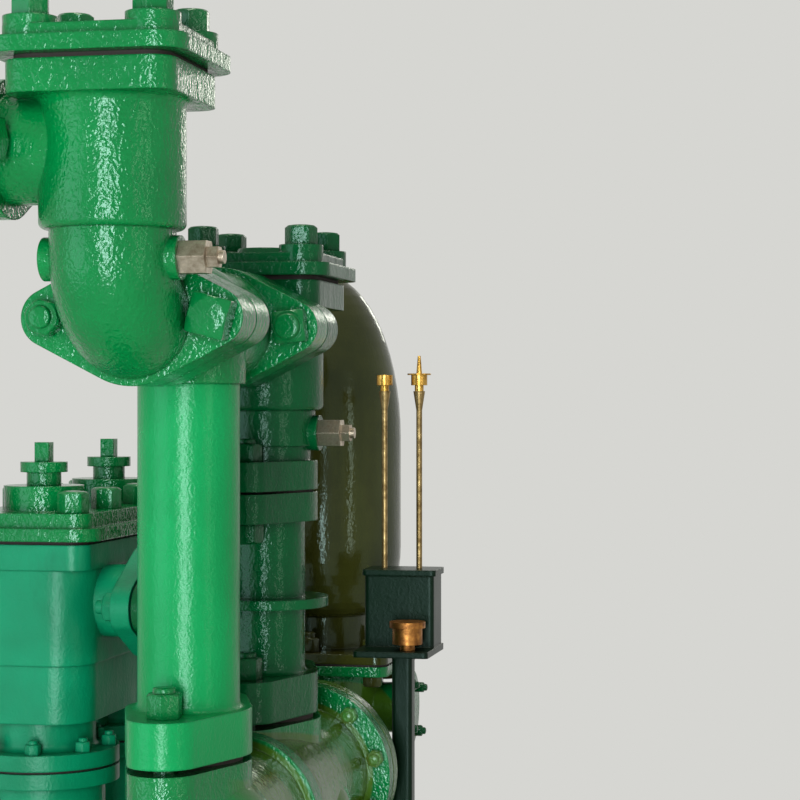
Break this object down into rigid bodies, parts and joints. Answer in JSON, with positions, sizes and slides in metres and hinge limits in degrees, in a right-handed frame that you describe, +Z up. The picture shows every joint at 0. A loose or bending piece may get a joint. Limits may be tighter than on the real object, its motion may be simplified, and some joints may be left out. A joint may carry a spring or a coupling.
{
  "type": "stationary steam engine pump end",
  "caption": "Pump end of a stationary steam engine: horizontal pump on a cast bedplate with flanged risers, angle valves, a side valve chest and a domed air vessel.",
  "frame": {"origin": "centre of the underside of the bedplate, on the floor", "axes": "+Z up, +Y back along the riser line away from the front valve, +X to the right with the outlet pointing to -X"},
  "size_m": [0.78, 1.3, 1.82],
  "materials": {
    "green_enamel": "thick glossy brushed enamel on rough cast iron",
    "dark_green_enamel": "thick glossy enamel, darker and oil stained",
    "bare_steel": "bare, dulled by oil",
    "brass": "tarnished, worn bright at the edges",
    "jointing": "matt fibre sheet, oil soaked"
  },
  "bodies": {
    "root": {"bedplate": "green_enamel", "front_saddle": "green_enamel", "rear_saddle": "green_enamel", "pump_casting": "green_enamel", "front_pump_cover": "green_enamel", "rear_pump_cover": "green_enamel", "front_riser": "green_enamel", "tee_casting": "green_enamel", "front_valve_body": "green_enamel", "front_valve_cover": "green_enamel", "outlet_studs": "green_enamel", "front_drain_plug": "bare_steel", "back_riser": "dark_green_enamel", "back_valve_body": "dark_green_enamel", "back_valve_cover": "dark_green_enamel", "back_drain_plug": "bare_steel", "side_chest": "green_enamel", "side_chest_cover": "green_enamel", "side_glands": "green_enamel", "side_spindles": "green_enamel", "front_column": "green_enamel", "rear_column": "green_enamel", "air_vessel": "dark_green_enamel", "header_cap": "dark_green_enamel", "lubricator": "dark_green_enamel", "oil_pipes": "bare_steel", "oil_caps": "brass", "oil_cup": "brass", "flange_joints": "jointing", "cover_joints": "jointing"}
  },
  "joints": []
}
